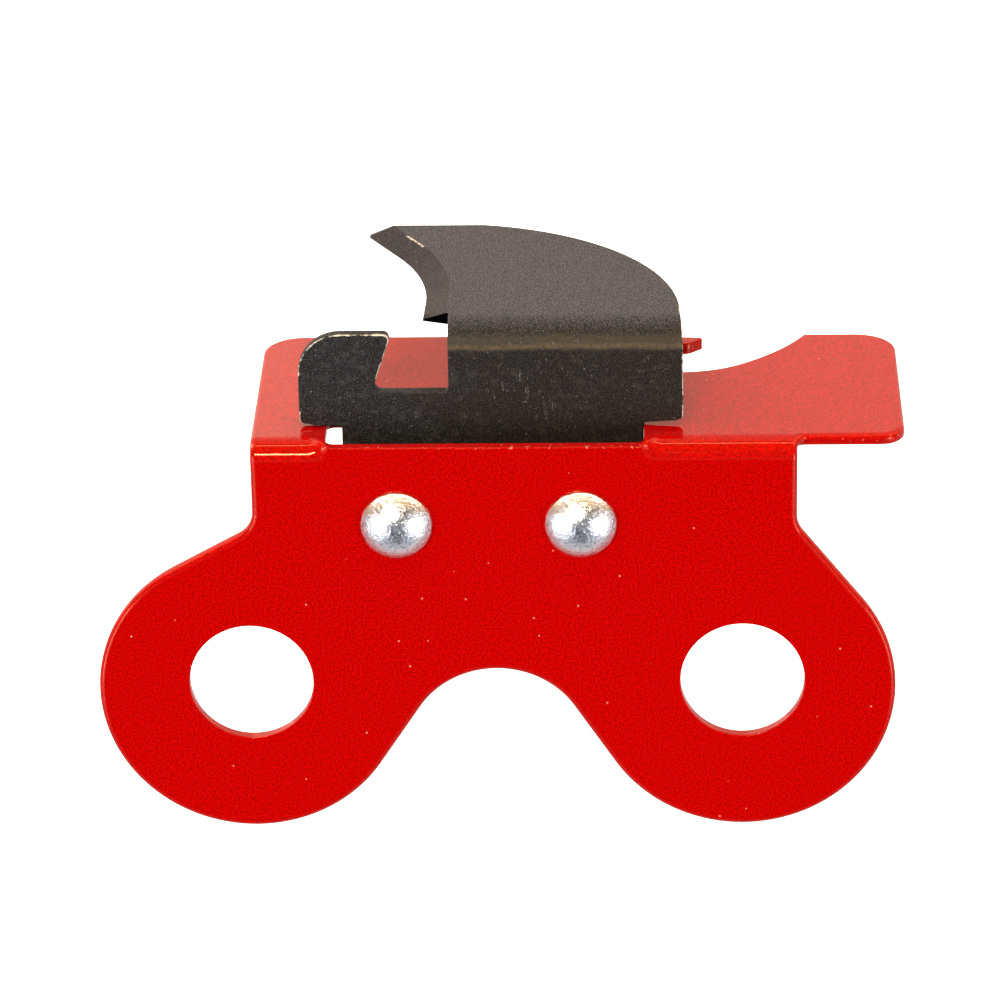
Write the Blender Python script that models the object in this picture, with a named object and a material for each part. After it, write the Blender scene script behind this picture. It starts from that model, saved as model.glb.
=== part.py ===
"""Riveted hook bracket: a folded red bracket with two eyes, a blackened hook plate and two rivets.

Both sheet pieces are drawn as flat blanks and then folded, as they are made. A blank's x runs along the fold,
and its second coordinate is the height before folding. All drawing is in millimetres from the drawing datum:
x = 0 midway between the eyes, y = 0 on the front plate's face, z = 0 at the eyes' centres. An empty at the
end moves the datum, so that the origin lies under the middle of the assembly, at its lowest point.
"""
import math

import bmesh
import bpy
from mathutils import Vector
from mathutils.geometry import delaunay_2d_cdt

MM = 0.001

# Sheet and clearances
SHEET = 1.5                 # thickness of both plates
GAP = 0.3                   # clearance between touching pieces

# Bracket, front plate
EYE_SPACING = 61.6
EYE_RADIUS = 7.75
LOBE_SPACING = 61.7
LOBE_RADIUS = 19.15
LOBE_DROP = 1.2             # the lobes' centres lie this far below the eyes' centres
ARCH_RADIUS = 11.5          # hollow between the lobes
ARCH_TOP = 1.5
NECK_LEFT = -30.0
NECK_RIGHT = 37.5
SHOULDER_HEIGHT = 21.15     # where each shoulder's slope would meet the neck's side
SHOULDER_FILLET = 3.3

# Bracket, fold and flange
FLANGE_TOP = 32.5
FOLD_RADIUS = 2.6           # outer radius
FLANGE_BACK = 34.8
FLANGE_RIGHT = 50.8
FLANGE_REAR_RADIUS = 5.0
EAR_CORNER_RADIUS = 3.2
EAR_FRONT_ANGLE = 73.5      # the ear's front edge lies this many degrees round the fold
RELIEF_RADIUS = 1.0

# Slot through the fold, with the strip of front plate that stays unbent in it
SLOT_LEFT = -20.8
SLOT_RIGHT = 18.95
SLOT_BACK = 8.5
SLOT_CORNER_RADIUS = 0.9
STRIP_TOP = 31.95
STRIP_END_GAP = 0.4

# Hook-shaped notch in the flange's back edge
NOTCH_NEAR = 22.6
NOTCH_FAR = 31.7
NOTCH_END_X = 16.5          # centre of its round end
NOTCH_BEND_X = 23.2         # where the near side starts to curve away
NOTCH_BEND_RADIUS = 13.0
NOTCH_BEND_ANGLE = 37.0
NOTCH_RAMP_RADIUS = 29.0
HORN_TIP_X = 26.0
HORN_DROP = 1.15            # the horn's back edge slopes this far forward, from the notch's round end
HORN_TAPER = 2.2            # length of the horn's pointed end
HORN_NEAR_RADIUS = 1.5
HORN_TIP_RADIUS = 0.25

# Hook plate: the tang lies on the back of the front plate, and a joggle sets the web back from it
TANG_BOTTOM = 14.5
TANG_CORNER_RADIUS = 3.0
TANG_FRONT = SHEET + GAP
WEB_FRONT = 5.2
JOGGLE_BOTTOM = 25.6
JOGGLE_TOP = 29.8

# Hook plate, upright web, with shoulders that rest on the flange
NECK_LEFT_X = -18.8
NECK_RIGHT_X = 18.6
WEB_LEFT = -24.05
WEB_RIGHT = 23.5
SHOULDER_LEFT_Z = (32.95, 32.8)     # at the outer end and at the neck
SHOULDER_RIGHT_Z = (33.25, 33.0)
WEB_CORNER_RADIUS = 0.8
FINGER_TOP = 44.9
FINGER_RADIUS = 5.2
FINGER_TIP_X = -12.4
FINGER_FOOT_X = -15.0
HOOK_FLOOR = 37.2
HOOK_FLOOR_RADIUS = 1.0
HOOK_WALL_X = -5.5

# Hook plate, blade
BLADE_TOP = 46.0
BLADE_FOLD_RADIUS = 3.75
BLADE_BACK = 39.6
BLADE_STEP = 0.35           # the blade is this much narrower than the web on the right
BLADE_RADIUS = 30.4
BLADE_CENTRE_Y = 9.7
HOLLOW_CENTRE_X = -38.7
HOLLOW_CENTRE_Y = 16.8
HOLLOW_RADIUS = 30.2
HOLLOW_END_ANGLE = 30.0     # the hollow edge runs on straight from here to the tip
HOLLOW_LEAN = 0.03          # and from its other end nearly straight to the web
BEVEL_WIDTH = 3.0
RELIEF_FRONT = 9.3          # front edge of the blade beside the web
RELIEF_SLOPE = 0.36
TIP_CUT = 0.5               # width of the tip's blunt end

# Rivets
RIVET_X = (-12.1, 10.75)
RIVET_Z = 21.6
RIVET_HEAD_RADIUS = 4.45
RIVET_HEAD_HEIGHT = 2.6
RIVET_RIM = 0.35
RIVET_SHANK_RADIUS = 2.4
RIVET_TAIL_RADIUS = 3.6
RIVET_TAIL_HEIGHT = 1.6
RIVET_TAIL_EDGE = 0.5

ARC_STEP = 7.5              # degrees of arc for each straight facet
FOLD_STEPS = 8
ROUND_STEPS = 48
SHARP_ANGLE = 35            # edges that turn more than this are shaded sharp
INSIDE_TRIANGLES = 1        # delaunay_2d_cdt's code for triangles inside the outline


def polar(centre, radius, degrees):
    """Point at an angle on a circle."""
    angle = math.radians(degrees)
    return (centre[0] + radius * math.cos(angle), centre[1] + radius * math.sin(angle))


def arc(centre, radius, start, end, step=ARC_STEP):
    """Points on a circle from one angle to another, both included."""
    count = max(2, math.ceil(abs(end - start) / step))
    return [polar(centre, radius, start + (end - start) * i / count) for i in range(count + 1)]


def rounded(before, corner, after, radius):
    """Points that round off a corner with an arc tangent to both of its sides."""
    here = Vector(corner)
    back = (Vector(before) - here).normalized()
    ahead = (Vector(after) - here).normalized()
    half = back.angle(ahead) / 2
    centre = here + (back + ahead).normalized() * (radius / math.sin(half))
    start = here + back * (radius / math.tan(half)) - centre
    end = here + ahead * (radius / math.tan(half)) - centre
    start_angle = math.degrees(math.atan2(start.y, start.x))
    end_angle = math.degrees(math.atan2(end.y, end.x))
    turn = (end_angle - start_angle + 180) % 360 - 180
    return arc(centre, radius, start_angle, start_angle + turn, step=15)


def tangent_angle(centre, radius, point, side):
    """Angle on a circle at which a line from an outside point touches it, on the side +1 or -1."""
    away = Vector(point) - Vector(centre)
    reach = math.degrees(math.acos(radius / away.length))
    return math.degrees(math.atan2(away.y, away.x)) + side * reach


def is_inside(point, loop):
    """True if a point lies inside a closed loop, by the number of sides that a ray from it crosses."""
    crossings = 0
    for (x0, y0), (x1, y1) in zip(loop, loop[1:] + loop[:1]):
        if (y0 > point.y) != (y1 > point.y):
            crossings += point.x < x0 + (point.y - y0) * (x1 - x0) / (y1 - y0)
    return crossings % 2 == 1


class Fold:
    """One fold along x that turns the top of an upright sheet backwards.

    A joggle (bottom, top, step) below it brings the sheet's foot forward by the step.
    """

    def __init__(self, front, top, radius, joggle=None):
        self.front = front
        self.top = top
        self.joggle = joggle
        self.radius = radius
        self.start = top - radius
        self.length = math.pi / 2 * (radius - SHEET / 2)
        self.end = self.start + self.length

    def height(self, y):
        """Height on the blank of a point that ends up at y on the folded part."""
        return self.end + y - self.front - self.radius

    def height_at_angle(self, degrees):
        """Height on the blank of a point that lies this far round the fold."""
        return self.start + self.length * degrees / 90

    def joggled(self, height):
        """How far the sheet is set forward at a height."""
        if self.joggle is None:
            return 0.0
        bottom, top, step = self.joggle
        return step * min(1.0, max(0.0, (top - height) / (top - bottom)))

    def place(self, x, height, depth, flat=False):
        """Folded position of a blank's point, at a depth under its front and top face."""
        if flat or height <= self.start:
            return Vector((x, self.front + depth - self.joggled(height), height))
        if height >= self.end:
            y = self.front + self.radius + height - self.end
            return Vector((x, y, self.top - depth))
        angle = (height - self.start) / self.length * math.pi / 2
        reach = self.radius - depth
        y = self.front + self.radius - reach * math.cos(angle)
        return Vector((x, y, self.start + reach * math.sin(angle)))


def folded_sheet(name, fold, outline, holes, stays_flat=None, shift=None):
    """Closed mesh of a blank, folded.

    stays_flat(x, height) is true for points that the fold leaves upright. shift maps an outline point to
    the place that it has on the front and top face, where that differs from the back.
    """
    points = [Vector(p) for p in outline]
    loops = [list(range(len(outline)))]
    for hole in holes:
        loops.append(list(range(len(points), len(points) + len(hole))))
        points += [Vector(p) for p in hole]
    edges = [(loop[i], loop[(i + 1) % len(loop)]) for loop in loops for i in range(len(loop))]
    vertices, _, faces, _, _, _ = delaunay_2d_cdt(points, edges, [], INSIDE_TRIANGLES, 1e-5)

    blank = bmesh.new()
    corners = [blank.verts.new((v.x, v.y, 0)) for v in vertices]
    for face in faces:
        middle = sum((vertices[i] for i in face), Vector((0, 0))) / 3
        if not any(is_inside(middle, hole) for hole in holes):
            blank.faces.new([corners[i] for i in face])
    heights = [fold.start + fold.length * i / FOLD_STEPS for i in range(FOLD_STEPS + 1)]
    if fold.joggle:
        heights += fold.joggle[:2]
    for height in heights:
        geometry = blank.verts[:] + blank.edges[:] + blank.faces[:]
        bmesh.ops.bisect_plane(blank, geom=geometry, dist=1e-4, plane_co=(0, height, 0), plane_no=(0, 1, 0))
    bmesh.ops.triangulate(blank, faces=blank.faces[:])
    bmesh.ops.recalc_face_normals(blank, faces=blank.faces[:])
    blank.verts.index_update()

    solid = bmesh.new()
    front = []
    back = []
    for vertex in blank.verts:
        x, height = vertex.co.x, vertex.co.y
        upright = stays_flat is not None and stays_flat(x, height)
        top_x, top_height = shift(x, height) if shift else (x, height)
        front.append(solid.verts.new(fold.place(top_x, top_height, 0, upright) * MM))
        back.append(solid.verts.new(fold.place(x, height, SHEET, upright) * MM))
    for face in blank.faces:
        ring = [v.index for v in face.verts]
        solid.faces.new([front[i] for i in ring])
        solid.faces.new([back[i] for i in reversed(ring)])
    for edge in blank.edges:
        if edge.is_boundary:
            a, b = edge.verts[0].index, edge.verts[1].index
            solid.faces.new([front[a], front[b], back[b], back[a]])
    bmesh.ops.recalc_face_normals(solid, faces=solid.faces[:])
    mesh = bpy.data.meshes.new(name)
    solid.to_mesh(mesh)
    solid.free()
    blank.free()
    mesh.shade_smooth()
    mesh.set_sharp_from_angle(angle=math.radians(SHARP_ANGLE))
    return mesh


def circle(x, height, radius):
    return arc((x, height), radius, 0, 360, 360 / ROUND_STEPS)[:-1]


# ---------------------------------------------------------------- bracket

BRACKET_FOLD = Fold(0, FLANGE_TOP, FOLD_RADIUS)


def front_plate_outline():
    """From the right end of the neck, down round both lobes and up to the left end of the neck."""
    lobe_right = (LOBE_SPACING / 2, -LOBE_DROP)
    lobe_left = (-LOBE_SPACING / 2, -LOBE_DROP)
    arch = (0, ARCH_TOP - ARCH_RADIUS)
    right_corner = (NECK_RIGHT, SHOULDER_HEIGHT)
    left_corner = (NECK_LEFT, SHOULDER_HEIGHT)

    right_touch = tangent_angle(lobe_right, LOBE_RADIUS, right_corner, -1)
    left_touch = tangent_angle(lobe_left, LOBE_RADIUS, left_corner, 1)

    # The straight flanks touch a lobe on one side and the arch on the other
    centres = Vector(arch) - Vector(lobe_left)
    flank = math.degrees(math.acos((LOBE_RADIUS + ARCH_RADIUS) / centres.length))
    lean = math.degrees(math.atan2(centres.y, centres.x))
    left_flank = lean - flank
    right_flank = 180 - left_flank

    points = rounded((NECK_RIGHT, FLANGE_TOP), right_corner, polar(lobe_right, LOBE_RADIUS, right_touch),
                     SHOULDER_FILLET)
    points += arc(lobe_right, LOBE_RADIUS, right_touch, right_flank - 360, step=5)
    points += arc(arch, ARCH_RADIUS, right_flank - 180, left_flank + 180, step=5)
    points += arc(lobe_left, LOBE_RADIUS, left_flank, left_touch - 360, step=5)
    points += rounded(polar(lobe_left, LOBE_RADIUS, left_touch), left_corner, (NECK_LEFT, FLANGE_TOP),
                      SHOULDER_FILLET)
    return points


def notch_outline():
    """The notch's edge in the flange, from the horn round to the ramp's end, as (x, y) on the part."""
    end_radius = (NOTCH_FAR - NOTCH_NEAR) / 2
    end_centre = (NOTCH_END_X, NOTCH_NEAR + end_radius)
    horn_tip = (HORN_TIP_X, FLANGE_BACK - HORN_DROP)
    horn_near = (HORN_TIP_X - HORN_TAPER, NOTCH_FAR)
    bend_centre = (NOTCH_BEND_X, NOTCH_NEAR + NOTCH_BEND_RADIUS)
    bend_end = polar(bend_centre, NOTCH_BEND_RADIUS, NOTCH_BEND_ANGLE - 90)
    ramp_centre = polar(bend_end, NOTCH_RAMP_RADIUS, NOTCH_BEND_ANGLE + 90)
    ramp_end = math.degrees(math.asin((FLANGE_BACK - ramp_centre[1]) / NOTCH_RAMP_RADIUS))

    horn_root = (NOTCH_END_X, FLANGE_BACK)
    points = [horn_root]
    points += rounded(horn_root, horn_tip, horn_near, HORN_TIP_RADIUS)
    points += rounded(horn_tip, horn_near, (NOTCH_END_X, NOTCH_FAR), HORN_NEAR_RADIUS)
    points += arc(end_centre, end_radius, 90, 270)
    points += arc(bend_centre, NOTCH_BEND_RADIUS, -90, NOTCH_BEND_ANGLE - 90)
    points += arc(ramp_centre, NOTCH_RAMP_RADIUS, NOTCH_BEND_ANGLE - 90, ramp_end)[1:]
    return points


def flange_outline():
    """From the left end of the fold round the flange to the right end of the neck, on the blank."""
    back = BRACKET_FOLD.height(FLANGE_BACK)
    ear_front = BRACKET_FOLD.height_at_angle(EAR_FRONT_ANGLE)
    rear_left = (NECK_LEFT, back)
    rear_right = (FLANGE_RIGHT, back)
    front_right = (FLANGE_RIGHT, ear_front)
    relief = (NECK_RIGHT, ear_front)

    points = rounded((NECK_LEFT, 0), rear_left, (0, back), FLANGE_REAR_RADIUS)
    points += [(x, BRACKET_FOLD.height(y)) for x, y in notch_outline()]
    points += rounded((0, back), rear_right, front_right, FLANGE_REAR_RADIUS)
    points += rounded(rear_right, front_right, relief, EAR_CORNER_RADIUS)
    points += rounded(front_right, relief, (NECK_RIGHT, 0), RELIEF_RADIUS)
    return points


def slot_outline():
    """The slot, less the strip of front plate that stands in it, on the blank."""
    low = BRACKET_FOLD.start
    high = BRACKET_FOLD.height(SLOT_BACK)
    strip_left = SLOT_LEFT + STRIP_END_GAP
    strip_right = SLOT_RIGHT - STRIP_END_GAP
    points = [(SLOT_LEFT, low), (strip_left, low), (strip_left, STRIP_TOP), (strip_right, STRIP_TOP),
              (strip_right, low), (SLOT_RIGHT, low)]
    points += rounded((SLOT_RIGHT, low), (SLOT_RIGHT, high), (SLOT_LEFT, high), SLOT_CORNER_RADIUS)
    points += rounded((SLOT_RIGHT, high), (SLOT_LEFT, high), (SLOT_LEFT, low), SLOT_CORNER_RADIUS)
    return points


def in_strip(x, height):
    """True for the points of the strip that the fold leaves upright."""
    inside = SLOT_LEFT + STRIP_END_GAP - 0.01 < x < SLOT_RIGHT - STRIP_END_GAP + 0.01
    return inside and height < STRIP_TOP + 0.01


def bracket_mesh():
    holes = [circle(side * EYE_SPACING / 2, 0, EYE_RADIUS) for side in (-1, 1)]
    holes += [circle(x, RIVET_Z, RIVET_SHANK_RADIUS + GAP) for x in RIVET_X]
    holes.append(slot_outline())
    outline = front_plate_outline() + flange_outline()
    return folded_sheet("bracket", BRACKET_FOLD, outline, holes, stays_flat=in_strip)


# ---------------------------------------------------------------- hook plate

BLADE_FOLD = Fold(WEB_FRONT, BLADE_TOP, BLADE_FOLD_RADIUS, (JOGGLE_BOTTOM, JOGGLE_TOP, WEB_FRONT - TANG_FRONT))


def hollow_edge(radius, tip_cut):
    """The blade's hollow edge at a radius, from beside the web to the tip, as (x, y) on the part."""
    centre = (HOLLOW_CENTRE_X, HOLLOW_CENTRE_Y)

    # The start is where the leaning straight part meets the sloping relief beside the web
    lowest = centre[0] + radius - HOLLOW_LEAN * (centre[1] - RELIEF_FRONT - RELIEF_SLOPE * HOOK_WALL_X)
    start_x = lowest / (1 + HOLLOW_LEAN * RELIEF_SLOPE)
    points = [(start_x, RELIEF_FRONT + RELIEF_SLOPE * (HOOK_WALL_X - start_x))]

    points += arc(centre, radius, 0, HOLLOW_END_ANGLE, step=5)
    x, y = points[-1]
    slope = math.tan(math.radians(HOLLOW_END_ANGLE))
    tip_x = x - (BLADE_BACK - y) * slope + tip_cut
    points.append((tip_x, BLADE_BACK - tip_cut / slope))
    points.append((tip_x, BLADE_BACK))
    return points


def blade_shift():
    """Map from the sharp lower edge of the bevel to its ridge on the blade's top face."""
    pairs = []
    ridge = hollow_edge(HOLLOW_RADIUS + BEVEL_WIDTH, TIP_CUT / 4)
    for lower, upper in zip(hollow_edge(HOLLOW_RADIUS, TIP_CUT), ridge):
        pairs.append(((lower[0], BLADE_FOLD.height(lower[1])), (upper[0], BLADE_FOLD.height(upper[1]))))

    def shift(x, height):
        for lower, upper in pairs:
            if math.hypot(x - lower[0], height - lower[1]) < 0.01:
                return upper
        return x, height

    return shift


def hook_plate_outline():
    """The hook plate's blank, clockwise from the tang's lower left corner."""
    tang_left = (NECK_LEFT_X, TANG_BOTTOM)
    tang_right = (NECK_RIGHT_X, TANG_BOTTOM)
    neck_left = (NECK_LEFT_X, SHOULDER_LEFT_Z[1])
    neck_right = (NECK_RIGHT_X, SHOULDER_RIGHT_Z[1])
    web_low_left = (WEB_LEFT, SHOULDER_LEFT_Z[0])
    web_low_right = (WEB_RIGHT, SHOULDER_RIGHT_Z[0])
    finger_left = (WEB_LEFT, FINGER_TOP)
    finger_tip = (FINGER_TIP_X, FINGER_TOP)
    finger_foot = (FINGER_FOOT_X, HOOK_FLOOR)
    hook_corner = (HOOK_WALL_X, HOOK_FLOOR)
    wall_top = (HOOK_WALL_X, BLADE_FOLD.height(RELIEF_FRONT))

    points = rounded(tang_right, tang_left, neck_left, TANG_CORNER_RADIUS)
    points.append(neck_left)
    points += rounded(neck_left, web_low_left, finger_left, WEB_CORNER_RADIUS)
    points += rounded(web_low_left, finger_left, finger_tip, FINGER_RADIUS)
    points += rounded(finger_left, finger_tip, finger_foot, WEB_CORNER_RADIUS)
    points += rounded(finger_tip, finger_foot, hook_corner, HOOK_FLOOR_RADIUS)
    points += rounded(finger_foot, hook_corner, wall_top, HOOK_FLOOR_RADIUS / 2)
    points.append(wall_top)
    points += [(x, BLADE_FOLD.height(y)) for x, y in hollow_edge(HOLLOW_RADIUS, TIP_CUT)]

    blade_right = WEB_RIGHT - BLADE_STEP
    centre = (blade_right - BLADE_RADIUS, BLADE_CENTRE_Y)
    back_angle = math.degrees(math.asin((BLADE_BACK - BLADE_CENTRE_Y) / BLADE_RADIUS))
    points += [(x, BLADE_FOLD.height(y)) for x, y in arc(centre, BLADE_RADIUS, back_angle, 0, step=5)]
    points.append((blade_right, BLADE_FOLD.end))
    points.append((WEB_RIGHT, BLADE_FOLD.end))
    points += rounded((WEB_RIGHT, BLADE_FOLD.end), web_low_right, neck_right, WEB_CORNER_RADIUS)
    points.append(neck_right)
    points += rounded(neck_right, tang_right, tang_left, TANG_CORNER_RADIUS)
    return points


def in_finger(x, height):
    """True for the points of the hook's finger, which stands upright beside the fold."""
    return x < (FINGER_TIP_X + HOOK_WALL_X) / 2 and height < FINGER_TOP + 0.01


def hook_plate_mesh():
    holes = [circle(x, RIVET_Z, RIVET_SHANK_RADIUS + GAP) for x in RIVET_X]
    return folded_sheet("hook_plate", BLADE_FOLD, hook_plate_outline(), holes, stays_flat=in_finger,
                        shift=blade_shift())


# ---------------------------------------------------------------- rivets

def rivet_mesh():
    """A dome-head rivet turned about y, with its tail formed behind the tang."""
    head_back = -GAP
    dome = RIVET_HEAD_HEIGHT - RIVET_RIM
    sphere = (RIVET_HEAD_RADIUS ** 2 + dome ** 2) / (2 * dome)
    spread = math.degrees(math.asin(RIVET_HEAD_RADIUS / sphere))
    rim_front = head_back - RIVET_RIM
    tail_front = TANG_FRONT + SHEET + GAP
    tail_back = tail_front + RIVET_TAIL_HEIGHT

    profile = []
    for i in range(8):
        angle = math.radians(spread * (i + 1) / 8)
        profile.append((sphere * math.sin(angle), rim_front - dome + sphere * (1 - math.cos(angle))))
    profile.append((RIVET_HEAD_RADIUS, head_back))
    profile.append((RIVET_SHANK_RADIUS, head_back))
    profile.append((RIVET_SHANK_RADIUS, tail_front))
    profile.append((RIVET_TAIL_RADIUS, tail_front))
    profile.append((RIVET_TAIL_RADIUS, tail_back - RIVET_TAIL_EDGE))
    profile.append((RIVET_TAIL_RADIUS - RIVET_TAIL_EDGE, tail_back))

    turned = bmesh.new()
    rings = []
    for radius, y in profile:
        ring = [polar((0, 0), radius, 360 * i / ROUND_STEPS) for i in range(ROUND_STEPS)]
        rings.append([turned.verts.new((x * MM, y * MM, z * MM)) for x, z in ring])
    apex = turned.verts.new((0, (rim_front - dome) * MM, 0))
    for i in range(ROUND_STEPS):
        after = (i + 1) % ROUND_STEPS
        turned.faces.new([apex, rings[0][i], rings[0][after]])
        for inner, outer in zip(rings, rings[1:]):
            turned.faces.new([inner[i], outer[i], outer[after], inner[after]])
    turned.faces.new(rings[-1])
    bmesh.ops.recalc_face_normals(turned, faces=turned.faces[:])
    mesh = bpy.data.meshes.new("rivet")
    turned.to_mesh(mesh)
    turned.free()
    mesh.shade_smooth()
    mesh.set_sharp_from_angle(angle=math.radians(SHARP_ANGLE))
    return mesh


# ---------------------------------------------------------------- assembly

def material(name, colour, roughness, metallic):
    made = bpy.data.materials.new(name)
    made.use_nodes = True
    shader = made.node_tree.nodes["Principled BSDF"]
    shader.inputs["Base Color"].default_value = (*colour, 1)
    shader.inputs["Roughness"].default_value = roughness
    shader.inputs["Metallic"].default_value = metallic
    return made


def add_piece(name, mesh, finish, datum, location=(0, 0, 0)):
    piece = bpy.data.objects.new(name, mesh)
    bpy.context.scene.collection.objects.link(piece)
    if not mesh.materials:
        mesh.materials.append(finish)
    piece.parent = datum
    piece.location = Vector(location) * MM
    return piece


def main():
    for old in list(bpy.data.objects):
        bpy.data.objects.remove(old)

    datum = bpy.data.objects.new("drawing_datum", None)
    bpy.context.scene.collection.objects.link(datum)
    lobe_reach = LOBE_SPACING / 2 + LOBE_RADIUS
    rivet_front = -GAP - RIVET_HEAD_HEIGHT
    datum.location = Vector((-(FLANGE_RIGHT - lobe_reach) / 2,
                             -(BLADE_BACK + rivet_front) / 2,
                             LOBE_RADIUS + LOBE_DROP)) * MM

    red_paint = material("red_paint", (0.60, 0.004, 0.004), 0.25, 0.0)
    black_oxide = material("black_oxide", (0.030, 0.026, 0.026), 0.5, 0.6)
    rivet_metal = material("rivet_metal", (0.72, 0.72, 0.74), 0.25, 1.0)

    add_piece("bracket", bracket_mesh(), red_paint, datum)
    add_piece("hook_plate", hook_plate_mesh(), black_oxide, datum)
    rivet = rivet_mesh()
    for name, x in zip(("rivet_left", "rivet_right"), RIVET_X):
        add_piece(name, rivet, rivet_metal, datum, (x, 0, RIVET_Z))


main()
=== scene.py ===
"""Looks of the riveted hook bracket: painted and blackened sheet metal, rivets, studio and camera.

The two sheet pieces are built again as flat blanks with rounded edges, and folded as the CAD pieces are.
Drawing is in millimetres from the CAD drawing's datum: x = 0 midway between the eyes, y = 0 on the front
plate's face, z = 0 at the eyes' centres. A blank's second coordinate is the height before folding.
"""
import math

import bmesh
import bpy
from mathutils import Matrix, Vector
from mathutils.geometry import delaunay_2d_cdt


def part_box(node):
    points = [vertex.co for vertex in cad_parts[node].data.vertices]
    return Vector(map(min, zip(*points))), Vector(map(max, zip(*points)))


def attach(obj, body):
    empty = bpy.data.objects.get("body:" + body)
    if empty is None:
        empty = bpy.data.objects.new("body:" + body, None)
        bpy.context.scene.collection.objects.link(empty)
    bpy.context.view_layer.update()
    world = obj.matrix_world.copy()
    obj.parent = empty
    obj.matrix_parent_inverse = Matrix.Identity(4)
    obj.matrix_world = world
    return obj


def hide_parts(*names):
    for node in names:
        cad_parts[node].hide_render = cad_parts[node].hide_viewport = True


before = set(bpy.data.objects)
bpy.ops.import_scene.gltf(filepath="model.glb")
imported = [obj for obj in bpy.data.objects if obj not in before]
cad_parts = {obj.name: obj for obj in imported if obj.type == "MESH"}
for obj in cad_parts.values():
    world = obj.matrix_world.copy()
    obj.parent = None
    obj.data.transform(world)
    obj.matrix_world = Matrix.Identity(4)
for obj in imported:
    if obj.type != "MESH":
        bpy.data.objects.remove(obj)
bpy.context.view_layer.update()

MM = 0.001

# Sheet
SHEET = 1.5
GAP = 0.3                   # between the two sheets, and round the rivets' shanks

# Bracket, front plate
EYE_SPACING = 61.6
EYE_RADIUS = 7.75
LOBE_SPACING = 61.7
LOBE_RADIUS = 19.15
LOBE_DROP = 1.2
ARCH_RADIUS = 11.5
ARCH_TOP = 1.5
NECK_LEFT = -30.0
NECK_RIGHT = 37.5
SHOULDER_HEIGHT = 21.15
SHOULDER_FILLET = 3.3

# Bracket, fold and flange
FLANGE_TOP = 32.5
FOLD_RADIUS = 2.6
FLANGE_BACK = 34.8
FLANGE_RIGHT = 50.8
FLANGE_REAR_RADIUS = 5.0
EAR_CORNER_RADIUS = 3.2
EAR_FRONT_ANGLE = 73.5
RELIEF_RADIUS = 1.0

# Slot, and the strip of front plate under it, which the fold leaves upright
SLOT_LEFT = -20.7
SLOT_RIGHT = 18.61
SLOT_BACK = 8.5
SLOT_CORNER_RADIUS = 0.9
STRIP_TOP = 31.95
STRIP_TWIST = 3.0           # length over which the strip's ends run out into the fold
STRIP_TWIST_EARLY = 0.2     # share of that length which lies beside the slot
STRIP_RISE = 1.3            # height over which the slot's ends do the same

# Hook-shaped notch in the flange's back edge
NOTCH_NEAR = 22.6
NOTCH_FAR = 31.7
NOTCH_END_X = 16.5
NOTCH_BEND_X = 23.2
NOTCH_BEND_RADIUS = 13.0
NOTCH_BEND_ANGLE = 37.0
NOTCH_RAMP_RADIUS = 29.0
HORN_TIP_X = 26.6
HORN_DROP = 1.0
HORN_TAPER = 2.2
HORN_NEAR_RADIUS = 1.5
HORN_TIP_RADIUS = 0.35

# Hook plate: the tang lies on the back of the front plate, and a joggle sets the web back from it
TANG_BOTTOM = 14.5
TANG_CORNER_RADIUS = 3.0
TANG_FRONT = SHEET + GAP
WEB_FRONT = 5.2
JOGGLE_BOTTOM = 25.6
JOGGLE_TOP = 29.8

# Hook plate, upright web, with shoulders just above the flange
NECK_LEFT_X = -18.8
NECK_RIGHT_X = 18.6
WEB_LEFT = -24.05
WEB_RIGHT = 23.5
SHOULDER_LEFT_Z = (32.9, 32.6)      # at the outer end and at the neck
SHOULDER_RIGHT_Z = (33.25, 32.95)
WEB_CORNER_RADIUS = 0.8
FINGER_TOP = 44.9
FINGER_RADIUS = 5.2
FINGER_TIP_X = -12.4
FINGER_FOOT_X = -15.0
HOOK_FLOOR = 37.2
HOOK_FLOOR_RADIUS = 1.0
HOOK_WALL_X = -5.5
HOOK_WALL_RADIUS = 0.5

# Hook plate, blade
BLADE_TOP = 46.0
BLADE_FOLD_RADIUS = 3.75
BLADE_BACK = 39.6
BLADE_STEP = 0.35
BLADE_RADIUS = 30.4
BLADE_CENTRE_Y = 9.7
HOLLOW_CENTRE = (-38.7, 16.8)
HOLLOW_RADIUS = 30.2
HOLLOW_END_ANGLE = 30.0
HOLLOW_LEAN = 0.03
BEVEL_WIDTH = 3.0
BEVEL_EDGE = 0.22           # thickness left at the bevel's sharp edge
BEVEL_MIDDLE = 0.35         # share of the bevel's width at which its mesh is divided
RIDGE_WORN = 0.12           # how far down the bevel its ridge is fully worn
RIDGE_UNWORN = 0.5          # and how far down it is hardly worn
RELIEF_FRONT = 9.3
RELIEF_SLOPE = 0.36
TIP_CUT = 0.5
RIDGE_TIP_CUT = 0.2

# Rivets
RIVET_X = {"rivet_left": -12.1, "rivet_right": 10.75}
RIVET_Z = 21.6
RIVET_HEAD_RADIUS = 4.45
RIVET_HEAD_HEIGHT = 2.6
RIVET_RIM = 0.35
RIVET_LIP = 0.12
RIVET_SHANK_RADIUS = 2.4
RIVET_TAIL_RADIUS = 3.6
RIVET_TAIL_HEIGHT = 1.6
RIVET_TAIL_EDGE = 0.5
RIVET_TAIL_FLAT = 0.6       # share of the tail's radius at which its flat end is divided
RIVET_SEAT = 0.01           # gap between the head and the plate

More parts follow.
